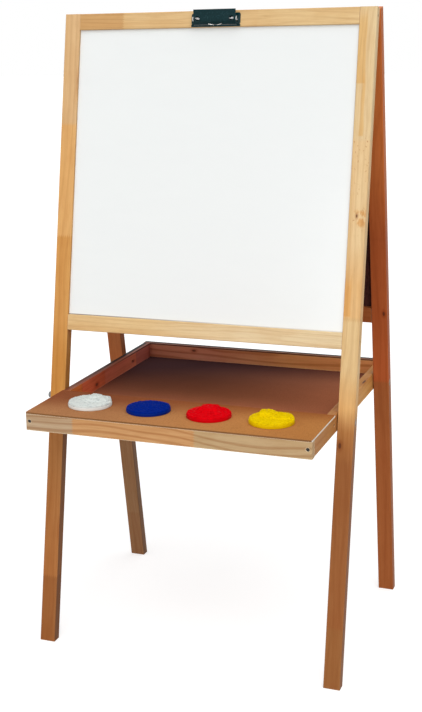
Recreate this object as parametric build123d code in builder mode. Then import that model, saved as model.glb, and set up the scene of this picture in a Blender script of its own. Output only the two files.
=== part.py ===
from build123d import *
from math import cos, radians, sin
import os

# Kids easel, in millimetres. +Z is up, -Y is the whiteboard side, and the floor is z = 0.

# Two hinged frames
overall_width = 600.0
frame_top_z = 1192.0
lean_angle = 10.2
leg_width = 31.0
leg_depth = 20.0
rail_height = 30.0
board_height = 540.0
edge_round = 1.6
hinge_offset = 3.5
top_above_axis = 2.0

# Boards in their grooves
board_thickness = 3.0
groove_depth = 6.0
board_setback = 5.0
board_clearance = 0.15

# Tray between the legs
pivot_z = 473.0
tray_height = 34.0
tray_overhang = 173.0
tray_reach = 399.0
tray_clearance = 1.2
tray_stock = 15.0
tray_round = 2.0
sheet_thickness = 3.0
rebate_width = 9.0
sheet_clearance = 0.15
shelf_depth = 153.0

# Paint pots in the shelf
pot_names = ["white", "blue", "red", "yellow"]
pot_spacing = 116.0
pot_rim_diameter = 81.0
pot_hole_diameter = 73.0
pot_hole_clearance = 0.6
pot_depth = 36.0
pot_wall = 2.0
pot_taper = 3.0
pot_rim_height = 5.5
paint_clearance = 0.2
paint_crown = 9.0

# Fasteners
screw_head = 6.5
screw_head_height = 2.4
screw_recess = 1.2
screw_shank = 3.5
screw_grip = 22.0
screw_slot = 0.9
screw_slot_length = 4.5
screw_slot_depth = 0.8
screw_clearance = 0.05
bolt_diameter = 6.0
bolt_clearance = 0.1
bolt_head = 13.0
bolt_head_height = 3.0
bolt_play = 0.3
nut_width = 10.0
nut_height = 6.5

# Butt hinges between the top rails
hinge_spacing = 360.0
hinge_length = 62.0
hinge_height = 24.0
leaf_thickness = 1.4
knuckle_radius = 3.2
knuckle_gap = 0.3
hinge_pin_diameter = 3.0
hinge_pin_clearance = 0.05
hinge_screw_head = 5.4
hinge_screw_shank = 2.6
hinge_screw_grip = 11.0
hinge_screw_pitch = 38.0
hinge_screw_drop = 14.4
knuckle_count = 5

# Paper clip on the top rail
clip_shift = 4.0
clip_width = 94.0
lever_width = 81.0
clip_plate = 1.2
clip_base_height = 20.0
clip_pin_drop = 16.0
clip_pin_height = 5.4
clip_pin_diameter = 3.0
clip_pin_clearance = 0.08
clip_ear = 4.6
clip_ear_gap = 0.5
lever_rise = 3.9
lever_bend = 1.9
lever_flip = 2.9
lever_flange = 3.4
flange_width = 6.9
thumb_reach = 16.2
jaw_drop = 13.6
jaw_gap = 0.3
jaw_lip = 3.0
coil_length = 12.0
coil_turns = 6
coil_wire = 1.1
coil_sleeve = 0.8
coil_clearance = 0.15
coil_gap = 0.6
window_diameter = 9.0
rivet_spread = 32.0
rivet_rise = 5.4
rivet_head = 7.0
rivet_head_height = 1.6
rivet_shank = 3.0
rivet_length = 12.0

# Places worked out from the sizes above
inner_width = overall_width - 2 * leg_width
leg_x = (overall_width - leg_width) / 2
outer_face = hinge_offset + leg_depth
rise = sin(radians(lean_angle))
run = cos(radians(lean_angle))
axis_z = frame_top_z - top_above_axis * run - outer_face * rise
leg_middle = hinge_offset + leg_depth / 2
pivot_drop = (axis_z + leg_middle * rise - pivot_z) / run
pivot_ahead = pivot_drop * rise + leg_middle * run
hinge_y = pivot_ahead - (tray_reach - tray_overhang) / 2
front = Plane(origin=(0, hinge_y, axis_z), x_dir=(1, 0, 0), z_dir=(0, -run, rise))
rear = Plane(origin=(0, hinge_y, axis_z), x_dir=(-1, 0, 0), z_dir=(0, run, rise))
clip_face = front.offset(outer_face)
clip_pin_y = top_above_axis - clip_pin_drop
top_rail_y = top_above_axis - rail_height / 2
board_y = top_above_axis - rail_height - board_height / 2
bottom_rail_y = top_above_axis - rail_height - board_height - rail_height / 2
leg_length = (axis_z + outer_face * rise) / run + top_above_axis + leg_depth
groove_width = board_thickness + 2 * board_clearance
groove_start = outer_face - board_setback - board_thickness - board_clearance

tray_width = inner_width - 2 * tray_clearance
pivot_y = hinge_y - pivot_ahead
tray_front = pivot_y - tray_overhang
tray_back = pivot_y + tray_reach
tray_top = pivot_z + tray_height / 2
tray_bottom = pivot_z - tray_height / 2
side_x = (tray_width - tray_stock) / 2
shelf_back = tray_front + shelf_depth
sheet_width = tray_width - 2 * (tray_stock - rebate_width) - 2 * sheet_clearance
pot_y = (tray_front + shelf_back) / 2

os.makedirs("parts", exist_ok=True)


def save(piece, name):
    piece.part.label = name
    export_step(piece.part, f"parts/{name}.step")


def add_screw(seat):
    # The seat lies on the underside of the head's recess and points into the wood.
    with Locations(seat):
        Cylinder(screw_head / 2, screw_head_height, align=(Align.CENTER, Align.CENTER, Align.MIN))
        Cylinder(screw_shank / 2, screw_grip, align=(Align.CENTER, Align.CENTER, Align.MIN))
        for turn in (0, 90):
            Box(
                screw_slot_length,
                screw_slot,
                screw_slot_depth,
                rotation=(0, 0, turn),
                align=(Align.CENTER, Align.CENTER, Align.MIN),
                mode=Mode.SUBTRACT,
            )


def cut_screw(seat):
    with Locations(seat):
        Cylinder(
            screw_shank / 2 + screw_clearance,
            screw_grip,
            align=(Align.CENTER, Align.CENTER, Align.MIN),
            mode=Mode.SUBTRACT,
        )
        Cylinder(
            screw_head / 2 + screw_clearance,
            screw_head_height,
            align=(Align.CENTER, Align.CENTER, Align.MIN),
            mode=Mode.SUBTRACT,
        )
        Cylinder(
            screw_head / 2 + screw_clearance,
            screw_recess,
            align=(Align.CENTER, Align.CENTER, Align.MAX),
            mode=Mode.SUBTRACT,
        )


def side_seats(plane, height):
    # Screws enter both legs from their outer sides at this height up the frame.
    seats = []
    for side in (-1, 1):
        x = side * (overall_width / 2 - screw_recess)
        middle = plane.from_local_coords((x, height, leg_middle))
        inward = plane.x_dir * -side
        seats.append(Plane(origin=middle, x_dir=plane.y_dir, z_dir=inward))
    return seats


def bolt_seat(plane, side):
    # The bolt line through one leg, from its outer face inwards.
    middle = plane.from_local_coords((side * overall_width / 2, -pivot_drop, leg_middle))
    return Plane(origin=middle, x_dir=(0, 1, 0), z_dir=plane.x_dir * -side)


def along(plane_direction):
    return Axis((0, 0, 0), plane_direction)


# The same four sticks and a board make each frame.
def make_frame(plane, frame_name, board_name):
    screw_rows = [side_seats(plane, top_rail_y), side_seats(plane, bottom_rail_y)]
    for side in (-1, 1):
        side_name = "left" if side * plane.x_dir.X < 0 else "right"
        with BuildPart() as leg:
            with BuildSketch(plane.offset(hinge_offset)) as leg_face:
                with Locations((side * leg_x, top_above_axis - leg_length / 2)):
                    Rectangle(leg_width, leg_length)
            extrude(leg_face.sketch, amount=leg_depth)
            fillet(leg.edges().filter_by(along(plane.y_dir)), edge_round)
            split(bisect_by=Plane.XY, keep=Keep.TOP)
            with BuildSketch(plane.offset(groove_start)) as groove_face:
                with Locations((0, board_y)):
                    Rectangle(inner_width + 2 * groove_depth, board_height + 2 * groove_depth)
            extrude(groove_face.sketch, amount=groove_width, mode=Mode.SUBTRACT)
            for row in screw_rows:
                for seat in row:
                    cut_screw(seat)
            with Locations(bolt_seat(plane, side)):
                Cylinder(bolt_diameter / 2 + screw_clearance, leg_width * 3, mode=Mode.SUBTRACT)
                if side > 0 or plane is rear:
                    Cone(
                        bolt_head / 2 + screw_clearance,
                        bolt_diameter / 2 + screw_clearance,
                        bolt_head_height,
                        align=(Align.CENTER, Align.CENTER, Align.MIN),
                        mode=Mode.SUBTRACT,
                    )
        save(leg, f"{frame_name}_leg_{side_name}")

    for rail_y, groove_side, rail_name in (
        (top_rail_y, -1, "top_rail"),
        (bottom_rail_y, 1, "bottom_rail"),
    ):
        with BuildPart() as rail:
            with BuildSketch(plane.offset(hinge_offset)) as rail_face:
                with Locations((0, rail_y)):
                    Rectangle(inner_width, rail_height)
            extrude(rail_face.sketch, amount=leg_depth)
            fillet(rail.edges().filter_by(Axis.X), edge_round)
            with BuildSketch(plane.offset(groove_start)) as groove_face:
                with Locations((0, rail_y + groove_side * rail_height / 2)):
                    Rectangle(inner_width, 2 * groove_depth)
            extrude(groove_face.sketch, amount=groove_width, mode=Mode.SUBTRACT)
            for row in screw_rows:
                for seat in row:
                    cut_screw(seat)
            if rail_name == "top_rail":
                for seat in hinge_screw_seats(plane):
                    with Locations(seat):
                        Cylinder(
                            hinge_screw_shank / 2 + screw_clearance,
                            hinge_screw_grip,
                            align=(Align.CENTER, Align.CENTER, Align.MIN),
                            mode=Mode.SUBTRACT,
                        )
                if plane is front:
                    for seat in rivet_seats():
                        with Locations(seat):
                            Cylinder(
                                rivet_shank / 2 + screw_clearance,
                                rivet_length,
                                align=(Align.CENTER, Align.CENTER, Align.MIN),
                                mode=Mode.SUBTRACT,
                            )
        save(rail, f"{frame_name}_{rail_name}")

    with BuildPart() as board:
        with BuildSketch(plane.offset(groove_start + board_clearance)) as board_face:
            with Locations((0, board_y)):
                Rectangle(
                    inner_width + 2 * (groove_depth - board_clearance),
                    board_height + 2 * (groove_depth - board_clearance),
                )
        extrude(board_face.sketch, amount=board_thickness)
    save(board, board_name)

    with BuildPart() as screws:
        for row in screw_rows:
            for seat in row:
                add_screw(seat)
    save(screws, f"{frame_name}_frame_screws")


def hinge_screw_seats(plane):
    seats = []
    for hinge_x in (-hinge_spacing / 2, hinge_spacing / 2):
        for step in (-hinge_screw_pitch / 2, hinge_screw_pitch / 2):
            x = hinge_x + step
            middle = plane.from_local_coords((x, -hinge_screw_drop, hinge_offset - leaf_thickness))
            seats.append(Plane(origin=middle, x_dir=plane.x_dir, z_dir=plane.z_dir))
    return seats


def rivet_seats():
    seats = []
    for side in (-1, 1):
        middle = clip_face.from_local_coords((clip_shift + side * rivet_spread / 2, top_rail_y + rivet_rise, 0))
        seats.append(Plane(origin=middle + front.z_dir * clip_plate, x_dir=front.x_dir, z_dir=-front.z_dir))
    return seats


def knuckle_spans(own_leaf):
    # The front leaf holds the first, third and fifth knuckle.
    step = hinge_length / knuckle_count
    spans = []
    for index in range(knuckle_count):
        if (index % 2 == 0) == own_leaf:
            spans.append(-hinge_length / 2 + (index + 0.5) * step)
    return spans, step


def make_hinge_leaf(plane, hinge_x, name):
    own, step = knuckle_spans(plane is front)
    other, _ = knuckle_spans(plane is not front)
    with BuildPart() as leaf:
        with BuildSketch(plane.offset(hinge_offset - leaf_thickness)) as plate:
            with Locations((hinge_x, -hinge_height / 2)):
                Rectangle(hinge_length, hinge_height)
        extrude(plate.sketch, amount=leaf_thickness)
        for x in other:
            with Locations(plane.from_local_coords((hinge_x + x, 0, 0))):
                Cylinder(
                    knuckle_radius + knuckle_gap,
                    step + 2 * knuckle_gap,
                    rotation=(0, 90, 0),
                    mode=Mode.SUBTRACT,
                )
        for x in own:
            with Locations(plane.from_local_coords((hinge_x + x, 0, 0))):
                Cylinder(knuckle_radius, step - knuckle_gap, rotation=(0, 90, 0))
        with Locations(plane.from_local_coords((hinge_x, 0, 0))):
            Cylinder(
                hinge_pin_diameter / 2 + hinge_pin_clearance,
                hinge_length * 2,
                rotation=(0, 90, 0),
                mode=Mode.SUBTRACT,
            )
        for seat in hinge_screw_seats(plane):
            with Locations(seat):
                Cone(
                    hinge_screw_head / 2 + screw_clearance,
                    hinge_screw_shank / 2 + screw_clearance,
                    leaf_thickness,
                    align=(Align.CENTER, Align.CENTER, Align.MIN),
                    mode=Mode.SUBTRACT,
                )
    save(leaf, name)


make_frame(front, "front", "whiteboard")
make_frame(rear, "rear", "chalkboard")

# Hinges, their pins and their screws
for hinge_x, side_name in ((-hinge_spacing / 2, "left"), (hinge_spacing / 2, "right")):
    make_hinge_leaf(front, hinge_x, f"front_hinge_leaf_{side_name}")
    make_hinge_leaf(rear, -hinge_x, f"rear_hinge_leaf_{side_name}")
    with BuildPart() as hinge_pin:
        with Locations((hinge_x, hinge_y, axis_z)):
            Cylinder(hinge_pin_diameter / 2, hinge_length, rotation=(0, 90, 0))
    save(hinge_pin, f"hinge_pin_{side_name}")

for plane, frame_name in ((front, "front"), (rear, "rear")):
    with BuildPart() as hinge_screws:
        for seat in hinge_screw_seats(plane):
            with Locations(seat):
                Cone(
                    hinge_screw_head / 2,
                    hinge_screw_shank / 2,
                    leaf_thickness,
                    align=(Align.CENTER, Align.CENTER, Align.MIN),
                )
                Cylinder(
                    hinge_screw_shank / 2,
                    hinge_screw_grip,
                    align=(Align.CENTER, Align.CENTER, Align.MIN),
                )
    save(hinge_screws, f"{frame_name}_hinge_screws")

# Tray: apron, two sides, back, batten, floor sheet and shelf sheet
apron_seats = []
back_seats = []
batten_seats = []
for side in (-1, 1):
    apron_seats.append(Plane(origin=(side * side_x, tray_front + screw_recess, pivot_z), z_dir=(0, 1, 0)))
    back_seats.append(Plane(origin=(side * side_x, tray_back - screw_recess, pivot_z), z_dir=(0, -1, 0)))
    batten_seats.append(
        Plane(
            origin=(side * (tray_width / 2 - screw_recess), shelf_back - tray_stock / 2, pivot_z),
            z_dir=(-side, 0, 0),
        )
    )
tray_seats = apron_seats + back_seats + batten_seats
rebate_height = sheet_thickness + sheet_clearance
floor_front = shelf_back - rebate_width
floor_back = tray_back - tray_stock + rebate_width


def cut_floor_rebate():
    with Locations((0, (floor_front + floor_back) / 2, tray_bottom)):
        Box(
            sheet_width + 2 * sheet_clearance,
            floor_back - floor_front,
            rebate_height,
            align=(Align.CENTER, Align.CENTER, Align.MIN),
            mode=Mode.SUBTRACT,
        )


def cut_shelf_rebate():
    with Locations((0, tray_front, tray_top)):
        Box(2 * tray_width, 2 * shelf_depth, 2 * rebate_height, mode=Mode.SUBTRACT)


for y, name in ((tray_front + tray_stock / 2, "tray_apron"), (tray_back - tray_stock / 2, "tray_back_rail")):
    with BuildPart() as crosswise:
        with Locations((0, y, pivot_z)):
            Box(tray_width, tray_stock, tray_height)
        outside = crosswise.faces().sort_by(Axis.Y)[0 if name == "tray_apron" else -1]
        fillet(outside.edges().filter_by(Axis.Z), tray_round)
        cut_floor_rebate()
        cut_shelf_rebate()
        for seat in tray_seats:
            cut_screw(seat)
    save(crosswise, name)

side_length = tray_back - tray_front - 2 * tray_stock
for side, side_name in ((-1, "left"), (1, "right")):
    with BuildPart() as lengthwise:
        with Locations((side * side_x, (tray_front + tray_back) / 2, pivot_z)):
            Box(tray_stock, side_length, tray_height)
        outside = lengthwise.faces().sort_by(Axis.X)[0 if side < 0 else -1]
        fillet(outside.edges().filter_by(Axis.Y), tray_round)
        cut_floor_rebate()
        cut_shelf_rebate()
        for seat in tray_seats:
            cut_screw(seat)
        for y in (pivot_y, hinge_y + pivot_ahead):
            with Locations((side * side_x, y, pivot_z)):
                Cylinder(
                    bolt_diameter / 2 + bolt_clearance,
                    tray_stock * 2,
                    rotation=(0, 90, 0),
                    mode=Mode.SUBTRACT,
                )
    save(lengthwise, f"tray_side_{side_name}")

with BuildPart() as batten:
    with Locations((0, shelf_back - tray_stock / 2, pivot_z)):
        Box(tray_width - 2 * tray_stock, tray_stock, tray_height)
    cut_floor_rebate()
    cut_shelf_rebate()
    for seat in tray_seats:
        cut_screw(seat)
save(batten, "shelf_batten")

with BuildPart() as tray_screws:
    for seat in tray_seats:
        add_screw(seat)
save(tray_screws, "tray_screws")

with BuildPart() as tray_floor:
    with Locations((0, (floor_front + floor_back) / 2, tray_bottom)):
        Box(
            sheet_width,
            floor_back - floor_front - 2 * sheet_clearance,
            sheet_thickness,
            align=(Align.CENTER, Align.CENTER, Align.MIN),
        )
save(tray_floor, "tray_floor")

pot_x = [(index - (len(pot_names) - 1) / 2) * pot_spacing for index in range(len(pot_names))]
shelf_seat = tray_top - rebate_height
shelf_surface = shelf_seat + sheet_thickness
with BuildPart() as paint_shelf:
    with Locations((0, (tray_front + shelf_back) / 2, shelf_seat)):
        Box(tray_width, shelf_depth, sheet_thickness, align=(Align.CENTER, Align.CENTER, Align.MIN))
    front_corners = paint_shelf.edges().filter_by(Axis.Z).group_by(Axis.Y)[0]
    fillet(front_corners, tray_round)
    for x in pot_x:
        with Locations((x, pot_y, shelf_seat)):
            Cylinder(pot_hole_diameter / 2, 4 * sheet_thickness, mode=Mode.SUBTRACT)
save(paint_shelf, "paint_shelf")

# Pots hang by their rims in the shelf, each with its heap of paint.
neck = pot_hole_diameter / 2 - pot_hole_clearance
rim = pot_rim_diameter / 2
paint_edge = rim - pot_wall - paint_clearance
paint_floor = neck - pot_taper - pot_wall - paint_clearance
for x, colour in zip(pot_x, pot_names):
    middle = Plane(origin=(x, pot_y, shelf_surface), x_dir=(1, 0, 0), z_dir=(0, -1, 0))
    with BuildPart() as pot:
        with BuildSketch(middle) as pot_profile:
            with BuildLine():
                Polyline(
                    (0, -pot_depth),
                    (neck - pot_taper, -pot_depth),
                    (neck, 0),
                    (rim, 0),
                    (rim, pot_rim_height - pot_wall / 2),
                    (rim - pot_wall / 2, pot_rim_height),
                    (rim - pot_wall, pot_rim_height),
                    (rim - pot_wall, pot_wall),
                    (neck - pot_wall, pot_wall),
                    (neck - pot_taper - pot_wall, pot_wall - pot_depth),
                    (0, pot_wall - pot_depth),
                    close=True,
                )
            make_face()
        revolve(pot_profile.sketch, axis=Axis((x, pot_y, 0), (0, 0, 1)))
    save(pot, f"pot_{colour}")

    with BuildPart() as paint:
        with BuildSketch(middle) as paint_profile:
            with BuildLine():
                Polyline(
                    (0, pot_rim_height + paint_crown),
                    (0, pot_wall - pot_depth),
                    (paint_floor, pot_wall - pot_depth),
                    (neck - pot_wall - paint_clearance, pot_wall),
                    (paint_edge, pot_wall),
                    (paint_edge, pot_rim_height),
                )
                TangentArc(
                    (0, pot_rim_height + paint_crown),
                    (paint_edge, pot_rim_height),
                    tangent=(1, 0),
                )
            make_face()
        revolve(paint_profile.sketch, axis=Axis((x, pot_y, 0), (0, 0, 1)))
    save(paint, f"paint_{colour}")

# Bolts: the front pair carries the tray, the rear pair ends flush in the legs.
rail_inside = leg_width + tray_clearance + tray_stock
for side, side_name in ((-1, "left"), (1, "right")):
    seat = bolt_seat(front, side)
    with BuildPart() as pivot_bolt:
        with Locations(seat):
            if side > 0:
                Cone(
                    bolt_head / 2,
                    bolt_diameter / 2,
                    bolt_head_height,
                    align=(Align.CENTER, Align.CENTER, Align.MIN),
                )
                Cylinder(
                    bolt_diameter / 2,
                    rail_inside + bolt_play + nut_height,
                    align=(Align.CENTER, Align.CENTER, Align.MIN),
                )
        if side < 0:
            with Locations(seat.offset(-nut_height)):
                Cylinder(
                    bolt_diameter / 2,
                    nut_height + rail_inside + bolt_play,
                    align=(Align.CENTER, Align.CENTER, Align.MIN),
                )
            with Locations(seat.offset(rail_inside + bolt_play)):
                Cylinder(
                    bolt_head / 2,
                    bolt_head_height,
                    align=(Align.CENTER, Align.CENTER, Align.MIN),
                )
    save(pivot_bolt, f"pivot_bolt_{side_name}")

    nut_seat = seat.offset(-nut_height) if side < 0 else seat.offset(rail_inside + bolt_play)
    with BuildPart() as pivot_nut:
        with BuildSketch(nut_seat) as hexagon:
            RegularPolygon(nut_width / 2, 6, major_radius=False)
            Circle(bolt_diameter / 2 + screw_clearance, mode=Mode.SUBTRACT)
        extrude(hexagon.sketch, amount=nut_height)
    save(pivot_nut, f"pivot_nut_{side_name}")

with BuildPart() as washers:
    for side in (-1, 1):
        with BuildSketch(bolt_seat(front, side).offset(leg_width)) as ring:
            Circle(bolt_head / 2)
            Circle(bolt_diameter / 2 + screw_clearance, mode=Mode.SUBTRACT)
        extrude(ring.sketch, amount=tray_clearance - bolt_play)
save(washers, "pivot_washers")

with BuildPart() as rear_bolts:
    for side in (-1, 1):
        with Locations(bolt_seat(rear, side)):
            Cone(
                bolt_head / 2,
                bolt_diameter / 2,
                bolt_head_height,
                align=(Align.CENTER, Align.CENTER, Align.MIN),
            )
            Cylinder(bolt_diameter / 2, leg_width, align=(Align.CENTER, Align.CENTER, Align.MIN))
save(rear_bolts, "rear_tray_bolts")

# Paper clip: the lever turns on a pin between the ears of the base plate.
ear_x = lever_width / 2 + clip_ear_gap
pin_half = ear_x + clip_plate
clip_pin_line = clip_face.from_local_coords((clip_shift, clip_pin_y, clip_pin_height))
clip_section = Plane(origin=clip_pin_line, x_dir=front.y_dir, z_dir=front.x_dir)

with BuildPart() as clip_base:
    with BuildSketch(clip_face) as base_plate:
        with Locations((clip_shift, top_rail_y)):
            RectangleRounded(clip_width, clip_base_height, edge_round * 2)
    extrude(base_plate.sketch, amount=clip_plate)
    for side in (-1, 1):
        ear_plane = clip_section.offset(side * (ear_x + clip_plate / 2) - clip_plate / 2)
        with BuildSketch(ear_plane) as ear:
            Circle(clip_ear)
            with Locations((0, clip_plate / 2 - clip_pin_height / 2)):
                Rectangle(2 * clip_ear, clip_pin_height - clip_plate)
            Circle(clip_pin_diameter / 2 + screw_clearance, mode=Mode.SUBTRACT)
        extrude(ear.sketch, amount=clip_plate)
    for seat in rivet_seats():
        with Locations(seat):
            Cylinder(rivet_shank / 2 + screw_clearance, 4 * clip_plate, mode=Mode.SUBTRACT)
save(clip_base, "clip_base")

with BuildPart() as clip_rivets:
    for seat in rivet_seats():
        with Locations(seat):
            Cylinder(rivet_head / 2, rivet_head_height, align=(Align.CENTER, Align.CENTER, Align.MAX))
            Cylinder(rivet_shank / 2, rivet_length, align=(Align.CENTER, Align.CENTER, Align.MIN))
    fillet(clip_rivets.edges().group_by(Axis(clip_face.origin, clip_face.z_dir))[-1], rivet_head_height / 2)
save(clip_rivets, "clip_rivets")

with BuildPart() as clip_pin:
    with BuildSketch(clip_section.offset(-pin_half)) as pin_end:
        Circle(clip_pin_diameter / 2)
    extrude(pin_end.sketch, amount=2 * pin_half)
save(clip_pin, "clip_pin")

# Coils are ribbed sleeves around the pin.
coil_inner = clip_pin_diameter / 2 + coil_clearance
coil_step = coil_length / coil_turns
coil_centre = lever_width / 2 - clip_plate - coil_gap - coil_length / 2
with BuildPart() as clip_spring:
    for side in (-1, 1):
        for turn in range(coil_turns):
            offset_x = side * coil_centre - coil_length / 2 + (turn + 0.5) * coil_step
            with BuildSketch(clip_section.offset(offset_x - coil_step / 2)) as tube:
                Circle(coil_inner + coil_sleeve)
                Circle(coil_inner, mode=Mode.SUBTRACT)
            extrude(tube.sketch, amount=coil_step)
            with BuildSketch(clip_section.offset(offset_x - coil_wire / 2)) as ridge:
                Circle(coil_inner + coil_wire)
                Circle(coil_inner, mode=Mode.SUBTRACT)
            extrude(ridge.sketch, amount=coil_wire)
save(clip_spring, "clip_spring")

# Lever outline in the pin's section: u runs up the rail and v away from it.
jaw_v = jaw_gap - clip_pin_height
with BuildPart() as clip_lever:
    with BuildSketch(clip_section.offset(-lever_width / 2)) as lever_profile:
        with BuildLine() as lever_line:
            Polyline(
                (-jaw_drop, jaw_v + clip_plate / 2),
                (jaw_lip - jaw_drop, jaw_v + clip_plate / 2),
                (-clip_ear, lever_rise),
                (clip_ear, lever_rise + clip_plate / 2),
                (thumb_reach - jaw_lip, lever_rise + lever_bend),
                (thumb_reach, lever_rise + lever_flip),
            )
            offset(amount=clip_plate / 2, side=Side.BOTH)
        make_face()
    extrude(lever_profile.sketch, amount=lever_width)
    with BuildSketch(clip_section.offset(-clip_width / 2)) as jaw_profile:
        with Locations((jaw_lip / 2 - jaw_drop, jaw_v + clip_plate / 2)):
            Rectangle(jaw_lip, clip_plate)
    extrude(jaw_profile.sketch, amount=clip_width)
    for side in (-1, 1):
        flange_plane = clip_section.offset(side * (lever_width - clip_plate) / 2 - clip_plate / 2)
        with BuildSketch(flange_plane) as flange:
            Circle(lever_flange)
            with Locations((0, lever_rise / 2)):
                Rectangle(flange_width, lever_rise)
        extrude(flange.sketch, amount=clip_plate)
    with BuildSketch(clip_section.offset(-clip_width)) as pin_bore:
        Circle(clip_pin_diameter / 2 + clip_pin_clearance)
    extrude(pin_bore.sketch, amount=2 * clip_width, mode=Mode.SUBTRACT)
    for side in (-1, 1):
        window = clip_section.from_local_coords((0, 0, side * coil_centre))
        with Locations(Plane(origin=window, x_dir=front.x_dir, z_dir=front.z_dir)):
            Cylinder(
                window_diameter / 2,
                clip_pin_height * 3,
                align=(Align.CENTER, Align.CENTER, Align.MIN),
                mode=Mode.SUBTRACT,
            )
save(clip_lever, "clip_lever")
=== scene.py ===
import math

import bmesh
import bpy
from mathutils import Euler, Matrix, Vector, noise


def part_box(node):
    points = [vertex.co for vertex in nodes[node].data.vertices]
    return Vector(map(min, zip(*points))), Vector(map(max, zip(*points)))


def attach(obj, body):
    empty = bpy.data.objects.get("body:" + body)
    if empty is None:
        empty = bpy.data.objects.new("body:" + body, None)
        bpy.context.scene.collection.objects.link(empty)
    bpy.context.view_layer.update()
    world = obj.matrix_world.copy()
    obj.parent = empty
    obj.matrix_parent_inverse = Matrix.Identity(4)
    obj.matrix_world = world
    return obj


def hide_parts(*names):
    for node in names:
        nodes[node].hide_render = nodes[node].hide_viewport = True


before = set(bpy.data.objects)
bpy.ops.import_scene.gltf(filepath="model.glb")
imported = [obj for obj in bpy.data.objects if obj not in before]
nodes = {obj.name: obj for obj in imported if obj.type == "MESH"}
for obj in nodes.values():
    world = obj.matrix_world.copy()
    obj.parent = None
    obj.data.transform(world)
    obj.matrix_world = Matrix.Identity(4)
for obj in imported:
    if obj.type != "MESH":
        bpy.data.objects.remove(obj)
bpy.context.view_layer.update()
bpy.context.scene.view_settings.view_transform = "Standard"
print("easel: frame loaded with", len(nodes), "nodes")

millimetre = 0.001
lean = math.radians(10.2)  # of both frames from upright
frontOut = Vector((0, -math.cos(lean), math.sin(lean)))  # out of the front frame's face
frontUp = Vector((0, math.sin(lean), math.cos(lean)))  # and up along it
rearOut = Vector((0, math.cos(lean), math.sin(lean)))
toRight = (1, 0, 0)
toTop = (0, 0, 1)


def isSocket(value):
    return isinstance(value, bpy.types.NodeSocket)


def link(source, target):
    source.id_data.links.new(source, target)


# Adds a node to the tree of the sockets that feed it. An input given as a socket is linked, any other is set;
# a colour is three numbers.
def addNode(kind, inputs, tree=None, **settings):
    tree = tree or next(value.id_data for value in inputs.values() if isSocket(value))
    made = tree.nodes.new(kind)
    for name, value in settings.items():
        setattr(made, name, value)
    for key, value in inputs.items():
        socket = made.inputs[key]
        if isSocket(value):
            link(value, socket)
        else:
            socket.default_value = (*value, 1) if socket.type == "RGBA" else value
    return made


def calc(operation, *values):
    return addNode("ShaderNodeMath", dict(enumerate(values)), operation=operation).outputs[0]


def product(first, *others):
    for other in others:
        first = calc("MULTIPLY", first, other)
    return first


def vectorCalc(operation, *values):
    made = addNode("ShaderNodeVectorMath", dict(enumerate(values)), operation=operation)
    return made.outputs["Value" if operation in ("DOT_PRODUCT", "DISTANCE") else "Vector"]


def ramp(value, low, high, toLow=0.0, toHigh=1.0):
    reach = {"Value": value, "From Min": low, "From Max": high, "To Min": toLow, "To Max": toHigh}
    return addNode("ShaderNodeMapRange", reach, interpolation_type="SMOOTHSTEP").outputs["Result"]


def blend(factor, first, second, mode="MIX"):
    made = addNode("ShaderNodeMix", {0: factor, 6: first, 7: second}, data_type="RGBA", blend_type=mode)
    return made.outputs[2]


def stretch(vector, scale, place=(0, 0, 0), turn=(0, 0, 0)):
    placing = {"Vector": vector, "Location": place, "Rotation": turn, "Scale": scale}
    return addNode("ShaderNodeMapping", placing).outputs[0]


# Soft noise; a scale of three numbers stretches it.
def cloud(vector, scale, detail=2.0, roughness=0.5, turn=(0, 0, 0)):
    if isinstance(scale, tuple):
        vector = stretch(vector, scale, turn=turn)
        scale = 1.0
    fineness = {"Vector": vector, "Scale": scale, "Detail": detail, "Roughness": roughness}
    return addNode("ShaderNodeTexNoise", fineness).outputs["Fac"]


# How far a normal points in a direction, from none to full over the reach.
def facing(normal, direction, reach=(0.6, 0.9)):
    return ramp(vectorCalc("DOT_PRODUCT", normal, direction), *reach)


def newGroup(name, inputs, outputs):
    tree = bpy.data.node_groups.new(name, "ShaderNodeTree")
    for label, kind in inputs.items():
        tree.interface.new_socket(label, in_out="INPUT", socket_type="NodeSocket" + kind)
    for label, kind in outputs.items():
        tree.interface.new_socket(label, in_out="OUTPUT", socket_type="NodeSocket" + kind)
    return tree, tree.nodes.new("NodeGroupInput").outputs, tree.nodes.new("NodeGroupOutput").inputs


def useGroup(group, tree=None, **values):
    return addNode("ShaderNodeGroup", values, tree, node_tree=group).outputs


def shaderOf(material):
    return material.node_tree.nodes["Principled BSDF"].inputs


# Gives the material, and the place and normal in its piece's own space.
def newMaterial(name, gloss=0.5, **constants):
    material = bpy.data.materials.new(name)
    material.use_nodes = True
    sockets = shaderOf(material)
    sockets["Specular IOR Level"].default_value = gloss
    for label, value in constants.items():
        sockets[label].default_value = value
    own = material.node_tree.nodes.new("ShaderNodeTexCoord").outputs
    return material, own["Object"], own["Normal"]


def finishMaterial(material, tone, rough, height=None, relief=0.0):
    sockets = shaderOf(material)
    link(tone, sockets["Base Color"])
    link(rough, sockets["Roughness"])
    if height is not None:
        bump = addNode("ShaderNodeBump", {"Height": height, "Distance": relief})
        link(bump.outputs[0], sockets["Normal"])
    return material


# Finger joints: the sticks are glued up from short lengths, so the border between two tones is a zigzag.
fingerJoint = {"pitch": 0.0042, "depth": 0.004}


def buildJointGroup():
    tree, given, sent = newGroup(
        "fingerJoint",
        {"Along": "Float", "Across": "Float", "Low": "Float", "High": "Float"},
        {"Place": "Float"})
    zigzag = calc("PINGPONG", given["Across"], fingerJoint["pitch"] / 2)
    slope = 2 * fingerJoint["depth"] / fingerJoint["pitch"]
    zigzag = calc("MULTIPLY_ADD", zigzag, slope, given["Along"])
    span = calc("SUBTRACT", given["High"], given["Low"])
    run = calc("SUBTRACT", zigzag, given["Low"])
    link(calc("DIVIDE", run, span), sent["Place"])
    return tree


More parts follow.
